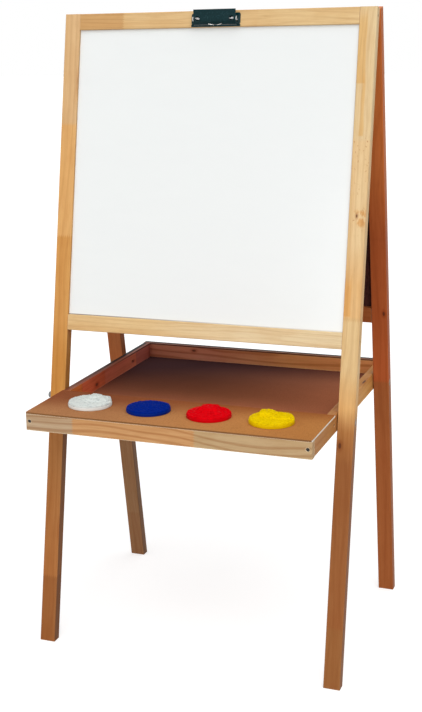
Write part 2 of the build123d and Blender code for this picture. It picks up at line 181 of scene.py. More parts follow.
# Pine: growth lines, fine fibres and a stray knot here and there, with the grain along Z of the vector given.
growthLook = {
    "sway": (16, 16, 2.2), "swing": (0.06, 0.06, 0.0), "drawn": (1, 1, 0.05),
    "rings": {"Scale": 30.0, "Distortion": 5.0, "Detail": 3.0, "Detail Scale": 0.7},
    "late": (0.55, 1.0), "shade": (0.68, 0.52, 0.40), "relief": 0.4, "rough": (0.2, 0.8, 0.44, 0.62),
}
figureLook = {  # patterns: how fine, how much detail, where each starts and is full, its strength and shade
    "fibre": ((760, 760, 14), 3.0, (0.42, 0.72), 0.20, (0.66, 0.50, 0.38)),
    "pores": ((2600, 2600, 55), 2.0, (0.54, 0.74), 0.30, (0.62, 0.46, 0.34)),
    "streak": ((150, 150, 2.4), 3.0, (0.42, 0.70), 0.20, (0.76, 0.62, 0.50)),
    "broad": ((46, 46, 1.6), 2.0, (0.36, 0.66), 0.46, (0.86, 0.72, 0.58)),
    "mottle": ((44, 44, 15), 3.0, (0.40, 0.70), 0.34, (0.86, 0.75, 0.63)),
}
strayKnot = {
    "cells": (24, 24, 4.2), "shift": (0.31, 0.17, 0.45),
    "halo": (0.20, 0.05), "haloDepth": 0.35, "haloShade": (0.62, 0.36, 0.20),
    "core": (0.075, 0.03), "coreDepth": 0.85, "tone": (0.085, 0.028, 0.012),
}


def buildGrainGroup():
    tree, given, sent = newGroup(
        "pineGrain",
        {"Grain": "Vector", "Stock": "Color", "Figure": "Float", "Knots": "Float"},
        {"Color": "Color", "Roughness": "Float", "Height": "Float"})
    grain = given["Grain"]
    swayAt = stretch(grain, growthLook["sway"])
    sway = addNode("ShaderNodeTexNoise", {"Vector": swayAt, "Scale": 1.0, "Detail": 2.0}).outputs["Color"]
    drawn = stretch(grain, growthLook["drawn"])
    drawn = vectorCalc("MULTIPLY_ADD", sway, growthLook["swing"], drawn)
    growth = addNode("ShaderNodeTexWave", {"Vector": drawn, **growthLook["rings"]},
                     wave_type="RINGS", rings_direction="Z").outputs["Fac"]
    late = ramp(growth, *growthLook["late"])
    tone = blend(product(late, given["Figure"]), given["Stock"], growthLook["shade"], "MULTIPLY")
    patterns = {}
    for name, (scale, detail, reach, depth, shade) in figureLook.items():
        patterns[name] = cloud(grain, scale, detail)
        tone = blend(ramp(patterns[name], *reach, 0.0, depth), tone, shade, "MULTIPLY")
    cells = stretch(grain, strayKnot["cells"], strayKnot["shift"])
    away = addNode("ShaderNodeTexVoronoi", {"Vector": cells, "Scale": 1.0}).outputs["Distance"]
    halo = product(ramp(away, *strayKnot["halo"]), given["Knots"])
    halo = ramp(halo, 0.0, 1.0, 0.0, strayKnot["haloDepth"])
    tone = blend(halo, tone, strayKnot["haloShade"], "MULTIPLY")
    core = product(ramp(away, *strayKnot["core"]), given["Knots"], strayKnot["coreDepth"])
    link(blend(core, tone, strayKnot["tone"]), sent["Color"])
    link(ramp(patterns["fibre"], *growthLook["rough"]), sent["Roughness"])
    height = calc("MULTIPLY_ADD", late, growthLook["relief"], patterns["fibre"])
    link(height, sent["Height"])
    return tree


# Hand marks: soft smears and spots where a surface has been wiped and handled.
markLook = {"smear": (3.0, 3.0, 9.0), "smearTurn": (0.2, 0.5, 0.1), "smearReach": (0.40, 0.68),
            "spots": 46.0, "spotReach": (0.52, 0.70)}


def buildMarksGroup():
    tree, given, sent = newGroup(
        "handMarks", {"Place": "Vector", "Size": "Float"}, {"Smear": "Float", "Spots": "Float"})
    place = vectorCalc("MULTIPLY", given["Place"], given["Size"])
    smear = cloud(place, markLook["smear"], 4.0, 0.6, markLook["smearTurn"])
    spots = cloud(place, markLook["spots"], 3.0)
    link(ramp(smear, *markLook["smearReach"]), sent["Smear"])
    link(ramp(spots, *markLook["spotReach"]), sent["Spots"])
    return tree


# Fine grit: the tooth of moulded plastic, enamel and drying paint.
gritLook = {"tooth": 1.0, "flecks": 0.6, "fleckReach": (0.50, 0.72)}


def buildGritGroup():
    tree, given, sent = newGroup(
        "fineGrit", {"Place": "Vector", "Size": "Float"}, {"Height": "Float", "Flecks": "Float"})
    place = vectorCalc("MULTIPLY", given["Place"], given["Size"])
    link(cloud(place, gritLook["tooth"], 4.0, 0.6), sent["Height"])
    flecks = ramp(cloud(place, gritLook["flecks"]), *gritLook["fleckReach"])
    link(flecks, sent["Flecks"])
    return tree


# Edge rub: where a corner is rounded over, handling pales or bares it; on the pine the paling is also a
# painted highlight along the rounded edges.
rubLook = {"reach": (0.995, 0.86), "samples": 4}


def buildRubGroup():
    tree, given, sent = newGroup("edgeRub", {"Width": "Float"}, {"Rub": "Float"})
    rounded = addNode("ShaderNodeBevel", {"Radius": given["Width"]}, samples=rubLook["samples"])
    flat = tree.nodes.new("ShaderNodeNewGeometry").outputs["Normal"]
    link(facing(rounded.outputs[0], flat, rubLook["reach"]), sent["Rub"])
    return tree


jointGroup = buildJointGroup()
grainGroup = buildGrainGroup()
marksGroup = buildMarksGroup()
gritGroup = buildGritGroup()
rubGroup = buildRubGroup()
print("easel: shader groups built")

pineTones = {
    "cream": (0.83, 0.68, 0.43),
    "butter": (0.81, 0.625, 0.36),
    "custard": (0.825, 0.605, 0.330),
    "flax": (0.78, 0.56, 0.285),
    "straw": (0.77, 0.54, 0.27),
    "wheat": (0.74, 0.49, 0.25),
    "sand": (0.665, 0.41, 0.178),
    "oat": (0.58, 0.40, 0.215),
    "ash": (0.55, 0.395, 0.25),
    "peach": (0.655, 0.358, 0.156),
    "apricot": (0.79, 0.50, 0.225),
    "honey": (0.78, 0.46, 0.18),
    "gold": (0.69, 0.36, 0.11),
    "amber": (0.625, 0.298, 0.071),
    "tan": (0.53, 0.255, 0.088),
    "copper": (0.47, 0.205, 0.065),
    "hazel": (0.44, 0.176, 0.053),
    "clay": (0.390, 0.210, 0.102),
    "bark": (0.365, 0.182, 0.085),
    "walnut": (0.335, 0.135, 0.042),
    "toast": (0.345, 0.130, 0.038),
    "umber": (0.335, 0.122, 0.037),
    "brick": (0.43, 0.135, 0.040),
    "russet": (0.53, 0.130, 0.037),
    "sienna": (0.58, 0.200, 0.068),
    "rust": (0.78, 0.230, 0.060),
    "chestnut": (0.86, 0.39, 0.145),
    "cocoa": (0.74, 0.29, 0.18),
    "rosewood": (0.82, 0.230, 0.140),
    "garnet": (0.80, 0.190, 0.086),
    "wine": (0.58, 0.160, 0.125),
}
grainTurns = {  # brings a stick's length to Z: axis of the length, then the turn
    "front": (2, (lean, 0, 0)),
    "rear": (2, (-lean, 0, 0)),
    "cross": (0, (0, -math.pi / 2, 0)),
    "deep": (1, (math.pi / 2, 0, 0)),
}

# Pine sticks. Stock lists the glued lengths from the low end to the high end, as where each starts and its
# tone; slowly means that the tone is reached gradually and not at a joint. Knots and stains are (middle,
# radius), warm bands of heartwood (middle across, half width, lowest, highest), and resin is where its specks
# start and end. A painted side shade is how far the right-hand side is darkened below the tray and above it,
# as painted shade. An outside is which way the browner face of a tray stick looks, and its tint; the stock of
# these sticks is lighter and redder, painted light for the shade on their inner faces, and the top beside it
# takes a painted shade.
slowly = True
pinePlain = {"figure": 0.2, "rubbed": 0.2, "strayKnots": 1.0, "knots": [], "warmBands": []}
pineSticks = {
    "front_leg_left": {
        "grain": "front", "paintedSideShade": (0.5, 0.15),
        "stock": [(0, "toast"), (0.109, "hazel"), (0.34, "copper", slowly), (0.37, "amber", slowly),
                  (0.46, "amber", slowly), (0.52, "gold", slowly), (0.655, "honey"), (0.832, "wheat")]},
    "front_leg_right": {
        "grain": "front", "paintedSideShade": (0.4, 0.0), "strayKnots": 0.0,
        "stock": [(0, "walnut"), (0.093, "umber"), (0.335, "umber", slowly), (0.385, "copper", slowly),
                  (0.42, "honey", slowly), (0.475, "flax", slowly), (0.551, "apricot"),
                  (0.60, "apricot", slowly), (0.66, "custard", slowly), (0.812, "butter")],
        "knots": [((0.2756, -0.1304, 0.4329), 0.0034), ((0.2835, -0.0582, 0.8342), 0.0019)],
        "warmBands": [(0.2765, 0.0075, 1.06, 1.20), (0.2830, 0.0030, 0.970, 1.09),
                      (0.2750, 0.0065, 0.658, 0.74)],
        "resin": (0.77, 0.985),
        "stains": [((0.2920, -0.0603, 0.8225), 0.0085), ((0.2950, -0.0584, 0.8390), 0.0065),
                   ((0.2830, -0.0575, 0.8420), 0.0035)]},
    "rear_leg_left": {
        "grain": "rear", "paintedSideShade": (0.5, 0.3),
        "stock": [(0, "bark"), (0.092, "clay"), (0.40, "sienna"), (0.70, "gold")]},
    "rear_leg_right": {
        "grain": "rear", "paintedSideShade": (0.3, 0.35),
        "stock": [(0, "brick"), (0.40, "russet"), (0.646, "russet"), (0.80, "rust", slowly)],
        "knots": [((0.2930, 0.1347, 0.6183), 0.0028)]},
    "front_top_rail": {"grain": "cross", "stock": [(0, "sand"), (0.17, "straw"), (0.66, "flax")]},
    "front_bottom_rail": {
        "grain": "cross", "strayKnots": 0.0,
        "stock": [(0, "straw"), (0.30, "flax", slowly), (0.66, "cream", slowly)]},
    "rear_top_rail": {"grain": "cross", "stock": [(0, "gold"), (0.45, "honey"), (0.75, "gold")]},
    # darker stock: painted shade, as this rail lies in the shade between the frames
    "rear_bottom_rail": {"grain": "cross", "stock": [(0, "copper"), (0.40, "hazel"), (0.80, "brick")]},
    "tray_apron": {
        "grain": "cross", "figure": 0.6, "rubbed": 0.85, "strayKnots": 0.0,
        "stock": [(0, "ash"), (0.178, "peach"), (0.612, "oat")]},
    # stock lighter and redder than the wood: painted light for the shade on its inner face
    "tray_back_rail": {
        "grain": "cross", "figure": 0.7, "strayKnots": 0.0,
        "stock": [(0, "cocoa"), (0.30, "cocoa", slowly), (0.62, "chestnut", slowly)],
        "knots": [((-0.1498, 0.2710, 0.4801), 0.0028)],
        "outside": ((0, 1, 0), (0.66, 0.70, 0.58))},
    # stock lighter and redder than the wood: painted light for the shade on its inner face
    "tray_side_left": {
        "grain": "deep", "strayKnots": 0.0,
        "stock": [(0, "rust"), (0.36, "garnet"), (0.56, "rosewood"), (0.86, "wine")],
        "knots": [((-0.2528, 0.1774, 0.4721), 0.0026), ((-0.2528, -0.0099, 0.4696), 0.0040)],
        "outside": ((-1, 0, 0), (0.66, 0.84, 0.56))},
    "tray_side_right": {"grain": "deep", "stock": [(0, "tan"), (0.40, "gold"), (0.80, "amber")]},
    "shelf_batten": {"grain": "cross", "stock": [(0, "amber"), (0.55, "honey")]},
}
glueLine = {"gap": 0.0008, "dark": 0.72}  # share of a stick's length that it takes, and how dark it is


def gluedLengths(along, stock):
    lengths = addNode("ShaderNodeValToRGB", {0: along})
    stops = lengths.color_ramp.elements
    stops.remove(stops[1])
    before = (*pineTones[stock[0][1]], 1)
    stops[0].color = before
    for start, tone, *slow in stock[1:]:
        if not slow:
            stops.new(start - 2 * glueLine["gap"]).color = before
            glue = [glueLine["dark"] * channel for channel in before[:3]]
            stops.new(start - glueLine["gap"]).color = glue + [1]
        before = (*pineTones[tone], 1)
        stops.new(start).color = before
    return lengths.outputs[0]


# Knots that show in front, drawn out along the grain. The reaches are in radii.
knotLook = {"drawn": 0.5, "halo": (2.4, 0.8), "haloDepth": 0.5, "haloShade": (0.55, 0.26, 0.14),
            "core": (1.0, 0.5), "coreDepth": 0.85, "tone": (0.10, 0.030, 0.012)}


def withKnots(tone, grain, turn, knots):
    drawn = (1, 1, knotLook["drawn"])
    grain = stretch(grain, drawn)
    for middle, radius in knots:
        middle = (Euler(turn).to_matrix() @ Vector(middle)) * Vector(drawn)
        away = vectorCalc("DISTANCE", grain, middle)
        start, full = (radius * reach for reach in knotLook["halo"])
        halo = ramp(away, start, full, 0.0, knotLook["haloDepth"])
        tone = blend(halo, tone, knotLook["haloShade"], "MULTIPLY")
        start, full = (radius * reach for reach in knotLook["core"])
        tone = blend(ramp(away, start, full, 0.0, knotLook["coreDepth"]), tone, knotLook["tone"])
    return tone


bandLook = {"sway": (60, 60, 5), "swing": 0.008, "border": 0.0016, "foot": 0.003, "head": 0.04,
            "shade": (0.97, 0.84, 0.64)}


def withWarmBands(tone, place, parts, bands):
    sway = cloud(place, bandLook["sway"])
    swayed = calc("MULTIPLY_ADD", sway, bandLook["swing"], parts[0])
    for middle, half, lowest, highest in bands:
        aside = calc("SUBTRACT", swayed, middle + bandLook["swing"] / 2)
        warm = ramp(calc("ABSOLUTE", aside), half + bandLook["border"], half - bandLook["border"])
        foot = ramp(parts[2], lowest, lowest + bandLook["foot"])
        head = ramp(parts[2], highest, highest - bandLook["head"])
        tone = blend(product(warm, foot, head), tone, bandLook["shade"], "MULTIPLY")
    return tone


resinLook = {
    "speck": (330, 330, 200), "speckReach": (0.65, 0.76, 0.0, 0.7), "speckTone": (0.50, 0.20, 0.07),
    "cluster": (70, 70, 34), "clusterReach": (0.40, 0.56), "foot": 0.05, "head": 0.01,
    "ragged": (420, 420, 150), "raggedBy": 0.018, "border": (0.011, 0.004), "stainDepth": 0.75,
    "stainShade": (0.86, 0.55, 0.27),
}


def withResin(tone, place, grain, parts, resin, stains):
    lowest, highest = resin
    speck = ramp(cloud(grain, resinLook["speck"], 1.0), *resinLook["speckReach"])
    cluster = ramp(cloud(grain, resinLook["cluster"], 1.0), *resinLook["clusterReach"])
    foot = ramp(parts[2], lowest, lowest + resinLook["foot"])
    head = ramp(parts[2], highest, highest - resinLook["head"])
    tone = blend(product(speck, cluster, foot, head), tone, resinLook["speckTone"])
    ragged = cloud(grain, resinLook["ragged"], 3.0)
    for middle, radius in stains:
        away = vectorCalc("DISTANCE", place, middle)
        away = calc("MULTIPLY_ADD", ragged, resinLook["raggedBy"], away)
        start, full = (radius + border for border in resinLook["border"])
        stain = ramp(away, start, full, 0.0, resinLook["stainDepth"])
        tone = blend(stain, tone, resinLook["stainShade"], "MULTIPLY")
    return tone


# Painted shade: the right-hand side of a leg is darkened, by one amount below the tray and another above it.
sideShadeLook = {"over": 0.05, "tone": (0.10, 0.045, 0.022)}


def withPaintedSideShade(tone, normal, parts, below, above):
    trayLow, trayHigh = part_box("tray_floor")
    depth = ramp(parts[2], trayLow.z, trayHigh.z + sideShadeLook["over"], below, above)
    stain = product(facing(normal, toRight), depth)
    return blend(stain, tone, sideShadeLook["tone"])


# Painted shade on the tops of the tray: the brim inside, the whole top, and darkest on its outer share, more
# to the rear.
paintedTopShade = {
    "brim": (0.0036, 0.0016), "brimDepth": 0.85, "brimReach": (0.0, 0.20),
    "level": (0.5, 0.85), "topDepth": 0.75, "share": 0.62, "border": 0.08, "rear": (-0.16, 0.18, 0.35, 1.0),
    "brimTone": (0.030, 0.014, 0.011), "topTone": (0.17, 0.060, 0.038),
    "outerTone": (0.010, 0.007, 0.006),
}


def withPaintedTopShade(tone, normal, parts, node, outside):
    low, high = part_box(node)
    start, full = (high.z - depth for depth in paintedTopShade["brim"])
    brim = ramp(parts[2], start, full, 0.0, paintedTopShade["brimDepth"])
    inside = facing(normal, -Vector(outside))
    brim = product(brim, inside, ramp(parts[1], *paintedTopShade["brimReach"]))
    tone = blend(brim, tone, paintedTopShade["brimTone"])
    level = facing(normal, toTop, paintedTopShade["level"])
    tone = blend(product(level, paintedTopShade["topDepth"]), tone, paintedTopShade["topTone"])
    axis = 0 if outside[0] else 1
    sign = outside[axis]
    width = sign * (high[axis] - low[axis])
    edge = (high if sign > 0 else low)[axis] - paintedTopShade["share"] * width
    border = paintedTopShade["border"] * width
    outer = ramp(parts[axis], edge - border, edge + border)
    stain = product(outer, level, ramp(parts[1], *paintedTopShade["rear"]))
    return blend(stain, tone, paintedTopShade["outerTone"])


# the rub tone pales rounded edges: partly wear, partly a painted highlight along them
pineFinish = {"gloss": 0.10, "rubWidth": 0.0022, "rubAndHighlightTone": (0.90, 0.76, 0.54), "relief": 0.00012}


def pineMaterial(node):
    stick = {**pinePlain, **pineSticks[node]}
    axis, turn = grainTurns[stick["grain"]]
    low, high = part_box(node)
    material, place, normal = newMaterial("pine_" + node, pineFinish["gloss"])
    parts = addNode("ShaderNodeSeparateXYZ", {0: place}).outputs
    across = parts[0] if axis == 2 else parts[2]
    along = useGroup(jointGroup, Along=parts[axis], Across=across, Low=low[axis], High=high[axis])
    grain = stretch(place, (1, 1, 1), turn=turn)
    wood = useGroup(grainGroup, Grain=grain, Stock=gluedLengths(along["Place"], stick["stock"]),
                    Figure=stick["figure"], Knots=stick["strayKnots"])
    tone = withKnots(wood["Color"], grain, turn, stick["knots"])
    tone = withWarmBands(tone, place, parts, stick["warmBands"])
    if "resin" in stick:
        tone = withResin(tone, place, grain, parts, stick["resin"], stick["stains"])
    rub = useGroup(rubGroup, material.node_tree, Width=pineFinish["rubWidth"])["Rub"]
    # rounded edges paled: wear and a painted highlight
    tone = blend(product(rub, stick["rubbed"]), tone, pineFinish["rubAndHighlightTone"])
    # painted shade down the right-hand side of the leg
    if "paintedSideShade" in stick:
        tone = withPaintedSideShade(tone, normal, parts, *stick["paintedSideShade"])
    if "outside" in stick:
        # the stock here is painted light for the shaded inner faces; the outer face is tinted back to browner
        # wood
        outside, tint = stick["outside"]
        tone = blend(facing(normal, outside), tone, tint, "MULTIPLY")
        # painted shade on the top of the tray stick
        tone = withPaintedTopShade(tone, normal, parts, node, outside)
    return finishMaterial(material, tone, wood["Roughness"], wood["Height"], pineFinish["relief"])


# Hardboard sheets of the tray: pressed fibre under a thin lacquer, the floor darker than the shelf. Painted
# shades lie on the upper face, where the boards above shade it: the side that each grows towards, where it
# starts and is full, and its colour. The right-hand sawn edges are paler, a painted highlight.
hardboardLooks = {
    "shelfHardboard": {
        "light": (0.525, 0.228, 0.067), "dark": (0.435, 0.180, 0.053), "fleck": (0.10, 0.034, 0.016),
        "sawn": (0.25, 0.115, 0.046), "paintedEdgeLight": (0.86, 0.80, 0.70),
        "paintedShades": [((-1, 0, 0), (-0.25, 0.25), (0.85, 0.91, 1.35)),
                   ((-0.15, 1, 0), (-0.24, -0.13), (0.66, 0.46, 0.45))]},
    "floorHardboard": {
        "light": (0.51, 0.177, 0.085), "dark": (0.45, 0.156, 0.075), "fleck": (0.08, 0.022, 0.011),
        "sawn": (0.08, 0.022, 0.011), "paintedEdgeLight": (0.16, 0.050, 0.024),
        "paintedShades": [((-0.436, 0.9, 0), (-0.04, 0.275), (0.15, 0.20, 0.44))]},
}
hardboardFinish = {
    "grit": 900.0, "marks": 1.2, "fleckDepth": 0.30, "rough": (0.46, 0.58), "relief": 0.00004,
    "shreds": (420, 90, 200), "shredTurn": (0, 0, 0.5), "shredReach": (0.48, 0.68, 0.0, 0.40),
    "upper": (0.5, 0.9), "paintedEdgeLightSide": (0.4, 0.7), "edges": (0.7, 0.4),
}


def hardboardMaterial(name):
    look = {**hardboardFinish, **hardboardLooks[name]}
    material, place, normal = newMaterial(name, gloss=0.0)
    grit = useGroup(gritGroup, Place=place, Size=look["grit"])
    marks = useGroup(marksGroup, Place=place, Size=look["marks"])
    shreds = cloud(place, look["shreds"], 3.0, turn=look["shredTurn"])
    tone = blend(marks["Smear"], look["light"], look["dark"])
    tone = blend(ramp(shreds, *look["shredReach"]), tone, look["dark"])
    up = vectorCalc("DOT_PRODUCT", normal, toTop)
    # painted shade on the upper face, towards the back and the left
    for side, reach, shade in look["paintedShades"]:
        towards = ramp(vectorCalc("DOT_PRODUCT", place, side), *reach)
        paintedShadeMask = product(towards, ramp(up, *look["upper"]))
        tone = blend(paintedShadeMask, tone, shade, "MULTIPLY")
    tone = blend(product(grit["Flecks"], look["fleckDepth"]), tone, look["fleck"])
    # paler right-hand edges: a painted highlight
    sawn = blend(facing(normal, toRight, look["paintedEdgeLightSide"]), look["sawn"], look["paintedEdgeLight"])
    tone = blend(ramp(calc("ABSOLUTE", up), *look["edges"]), tone, sawn)
    rough = ramp(marks["Smear"], 0.0, 1.0, *look["rough"])
    return finishMaterial(material, tone, rough, grit["Height"], look["relief"])


# The two drawing boards are coated on one side, with bare hardboard on the other.
bareBoard = {"shreds": (380, 120, 120), "shredReach": (0.4, 0.7), "coated": (-0.6, -0.4)}


def bareBack(place, look):
    shreds = cloud(place, bareBoard["shreds"], 3.0)
    depth = ramp(shreds, *bareBoard["shredReach"], 0.0, look["shredDepth"])
    return blend(depth, look["back"], look["shred"])


# Whiteboard: gloss laminate with faint wiped traces, and a painted shadow line along its foot, where the
# bottom rail meets it, darkest to the left.
whiteboardLook = {
    "face": (0.845, 0.866, 0.858), "trace": (0.78, 0.80, 0.80), "traceDepth": 0.12, "marks": 2.2,
    "back": (0.26, 0.11, 0.05), "shred": (0.14, 0.055, 0.028), "shredDepth": 0.5,
    "footShadow": (0.16, 0.13, 0.10), "footShadowHeight": (0.0026, 0.0007), "footShadowReach": (-0.24, 0.16, 0.85, 0.25),
    "gloss": 0.3, "coat": {"Coat Weight": 0.10, "Coat Roughness": 0.08},
    "rough": (0.16, 0.27), "backRough": 0.62,
}


def whiteboardMaterial():
    look = whiteboardLook
    material, place, normal = newMaterial("whiteLaminate", look["gloss"], **look["coat"])
    marks = useGroup(marksGroup, Place=place, Size=look["marks"])
    face = blend(product(marks["Smear"], look["traceDepth"]), look["face"], look["trace"])
    foot = max(vertex.co.dot(frontUp) for vertex in nodes["front_bottom_rail"].data.vertices)
    none, full = (foot + rise for rise in look["footShadowHeight"])
    footShadow = ramp(vectorCalc("DOT_PRODUCT", place, frontUp), none, full)
    across = addNode("ShaderNodeSeparateXYZ", {0: place}).outputs[0]
    # painted shadow along the board's foot, darkest to the left
    face = blend(product(footShadow, ramp(across, *look["footShadowReach"])), face, look["footShadow"])
    front = facing(normal, frontOut, bareBoard["coated"])
    tone = blend(front, bareBack(place, look), face)
    gloss = ramp(marks["Smear"], 0.0, 1.0, *look["rough"])
    smoother = product(front, calc("SUBTRACT", look["backRough"], gloss))
    return finishMaterial(material, tone, calc("SUBTRACT", look["backRough"], smoother))


# Chalkboard: matt slate coat with the haze and wiping strokes of chalk.
chalkboardLook = {
    "slate": (0.014, 0.017, 0.016), "dust": (0.16, 0.17, 0.165), "marks": 1.4, "grit": 1400.0,
    # the bare back is darker than the whiteboard's: painted shade, as it faces into the shade between the
    # frames
    "back": (0.085, 0.026, 0.022), "shred": (0.045, 0.013, 0.012), "shredDepth": 1.0,
    "strokes": (5, 5, 42), "strokeTurn": (0, 0.45, 0), "strokeReach": (0.40, 0.75), "haze": (0.30, 0.08),
    "gloss": 0.15, "rough": (0.0, 0.4, 0.66, 0.86), "relief": 0.00005,
}


def chalkboardMaterial():
    look = chalkboardLook
    material, place, normal = newMaterial("slateCoat", look["gloss"])
    marks = useGroup(marksGroup, Place=place, Size=look["marks"])
    grit = useGroup(gritGroup, Place=place, Size=look["grit"])
    strokes = cloud(place, look["strokes"], 4.0, 0.65, look["strokeTurn"])
    haze = calc("MULTIPLY_ADD", marks["Smear"], *look["haze"])
    haze = product(ramp(strokes, *look["strokeReach"]), haze)
    face = blend(haze, look["slate"], look["dust"])
    front = facing(normal, rearOut, bareBoard["coated"])
    tone = blend(front, bareBack(place, look), face)
    return finishMaterial(material, tone, ramp(haze, *look["rough"]), grit["Height"], look["relief"])


# Metals: a base tone, a duller tone in the smears (on the black enamel a lighter bluish one, a painted
# sheen), brushed or cast tooth, brighter rubbed edges.
metalLooks = {
    # the duller tone here is lighter and bluish: a painted sheen
    "blackEnamel": {
        "base": (0.003, 0.025, 0.029), "dullAndSheen": (0.010, 0.042, 0.050), "bare": (0.10, 0.14, 0.14),
        "metal": 0.0, "rough": (0.12, 0.22), "tooth": 300.0, "rubbed": 0.6, "gloss": 0.10},
    "polishedNickel": {
        "base": (0.70, 0.69, 0.66), "dullAndSheen": (0.50, 0.49, 0.46), "bare": (0.86, 0.86, 0.85),
        "rough": (0.06, 0.16), "tooth": 2400.0, "rubbed": 0.6, "gloss": 0.5},
    "brightSteel": {
        "base": (0.74, 0.74, 0.75), "dullAndSheen": (0.52, 0.52, 0.53), "bare": (0.85, 0.85, 0.86),
        "rough": (0.14, 0.30), "tooth": 2400.0, "rubbed": 0.4},
    "zincPlate": {
        "base": (0.62, 0.63, 0.64), "dullAndSheen": (0.42, 0.43, 0.44), "bare": (0.80, 0.80, 0.80),
        "rough": (0.26, 0.44), "tooth": 1500.0},
    "bronzedSteel": {
        "base": (0.20, 0.12, 0.07), "dullAndSheen": (0.11, 0.065, 0.040), "bare": (0.36, 0.26, 0.18),
        "metal": 0.7, "rough": (0.36, 0.54), "tooth": 1600.0, "rubbed": 0.4},
    "dullSteel": {
        "base": (0.20, 0.20, 0.20), "dullAndSheen": (0.12, 0.12, 0.12), "bare": (0.42, 0.42, 0.42),
        "metal": 0.6, "rough": (0.34, 0.55), "tooth": 1500.0},
    "darkSteel": {
        "base": (0.030, 0.026, 0.024), "dullAndSheen": (0.014, 0.012, 0.012), "bare": (0.14, 0.13, 0.12),
        "metal": 0.3, "rough": (0.34, 0.55), "tooth": 1800.0},
}
metalFinish = {"metal": 1.0, "gloss": 0.3, "rubbed": 0.5, "marks": 9.0, "rubWidth": 0.0007, "relief": 0.00002}


def metalMaterial(name):
    look = {**metalFinish, **metalLooks[name]}
    material, place = newMaterial(name, look["gloss"], Metallic=look["metal"])[:2]
    marks = useGroup(marksGroup, Place=place, Size=look["marks"])
    grit = useGroup(gritGroup, Place=place, Size=look["tooth"])
    rub = useGroup(rubGroup, material.node_tree, Width=look["rubWidth"])["Rub"]
    tone = blend(marks["Spots"], look["base"], look["dullAndSheen"])
    tone = blend(product(rub, look["rubbed"]), tone, look["bare"])
    rough = ramp(marks["Smear"], 0.0, 1.0, *look["rough"])
    return finishMaterial(material, tone, rough, grit["Height"], look["relief"])


# Moulded plastic of the washers and pots: a base tone and a duller one.
plasticLooks = {
    "nylon": ((0.030, 0.030, 0.031), (0.052, 0.052, 0.053)),
    "white": ((0.82, 0.84, 0.81), (0.76, 0.78, 0.76)),
    "blue": ((0.0, 0.018, 0.230), (0.0, 0.012, 0.170)),
    "red": ((0.64, 0.0, 0.004), (0.52, 0.0, 0.003)),
    "yellow": ((0.77, 0.53, 0.0), (0.66, 0.43, 0.0)),
}
plasticFinish = {"gloss": 0.06, "marks": 6.0, "grit": 1600.0, "rough": (0.42, 0.56), "relief": 0.00003}


def plasticMaterial(name):
    base, dullAndSheen = plasticLooks[name]
    material, place = newMaterial(name + "Plastic", plasticFinish["gloss"])[:2]
    marks = useGroup(marksGroup, Place=place, Size=plasticFinish["marks"])
    grit = useGroup(gritGroup, Place=place, Size=plasticFinish["grit"])
    tone = blend(marks["Smear"], base, dullAndSheen)
    rough = ramp(marks["Spots"], 0.0, 1.0, *plasticFinish["rough"])
    return finishMaterial(material, tone, rough, grit["Height"], plasticFinish["relief"])


# Thick paint in the pots: a base tone and a darker tone in its furrows, a painted shade.
paintLooks = {
    "white": ((0.66, 0.70, 0.675), (0.36, 0.41, 0.42)),
    "blue": ((0.0, 0.015, 0.210), (0.0, 0.008, 0.140)),
    "red": ((0.665, 0.0, 0.004), (0.48, 0.0, 0.003)),
    "yellow": ((0.78, 0.55, 0.0), (0.55, 0.35, 0.0)),
}
paintFinish = {
    "gloss": 0.02, "marks": 5.0, "grit": 420.0, "ridges": (150, 230, 230), "ridgeTurn": (0, 0, 0.4),
    "paintedFurrowShade": (0.50, 0.68, 0.0, 0.7), "fleckDepth": 0.2, "rough": (0.55, 0.75), "relief": 0.00035,
}


def paintMaterial(name):
    base, shade = paintLooks[name]
    look = paintFinish
    material, place = newMaterial(name + "Paint", look["gloss"])[:2]
    grit = useGroup(gritGroup, Place=place, Size=look["grit"])
    marks = useGroup(marksGroup, Place=place, Size=look["marks"])
    ridges = cloud(place, look["ridges"], 4.0, 0.6, look["ridgeTurn"])
    # darker tone in the furrows: painted shade
    tone = blend(ramp(ridges, *look["paintedFurrowShade"]), base, shade)
    tone = blend(product(grit["Flecks"], look["fleckDepth"]), tone, shade)
    rough = ramp(marks["Spots"], 0.0, 1.0, *look["rough"])
    return finishMaterial(material, tone, rough, calc("ADD", ridges, grit["Height"]), look["relief"])


def dress(node, material):
    mesh = nodes[node].data
    mesh.materials.clear()
    mesh.materials.append(material)


metals = {name: metalMaterial(name) for name in metalLooks}
plastics = {name: plasticMaterial(name) for name in plasticLooks}
paints = {name: paintMaterial(name) for name in paintLooks}
hingeLeaves = [f"{side}_hinge_leaf_{hand}" for side in ("front", "rear") for hand in ("left", "right")]
metalPieces = {
    "brightSteel": ["clip_rivets", "clip_pin", "clip_spring", "hinge_pin_left", "hinge_pin_right"],
    "dullSteel": ["pivot_bolt_left", "pivot_nut_left", "pivot_nut_right"],
    "bronzedSteel": ["pivot_bolt_right", "rear_tray_bolts"],
    "darkSteel": ["front_frame_screws", "rear_frame_screws", "tray_screws"],
    "zincPlate": ["front_hinge_screws", "rear_hinge_screws", *hingeLeaves],
}
for node in pineSticks:
    dress(node, pineMaterial(node))
dress("tray_floor", hardboardMaterial("floorHardboard"))
dress("paint_shelf", hardboardMaterial("shelfHardboard"))
dress("whiteboard", whiteboardMaterial())
dress("chalkboard", chalkboardMaterial())
dress("pivot_washers", plastics["nylon"])
for metal, pieces in metalPieces.items():
    for node in pieces:
        dress(node, metals[metal])
print("easel: wood, boards and fittings finished")


def putInScene(name, data):
    made = bpy.data.objects.new(name, data)
    bpy.context.scene.collection.objects.link(made)
    return made


def newPiece(name, mesh, material, body, slot, *stoodFor):
    mesh.materials.clear()
    mesh.materials.append(material)
    piece = putInScene(name, mesh)
    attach(piece, body)
    if stoodFor:
        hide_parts(*stoodFor)


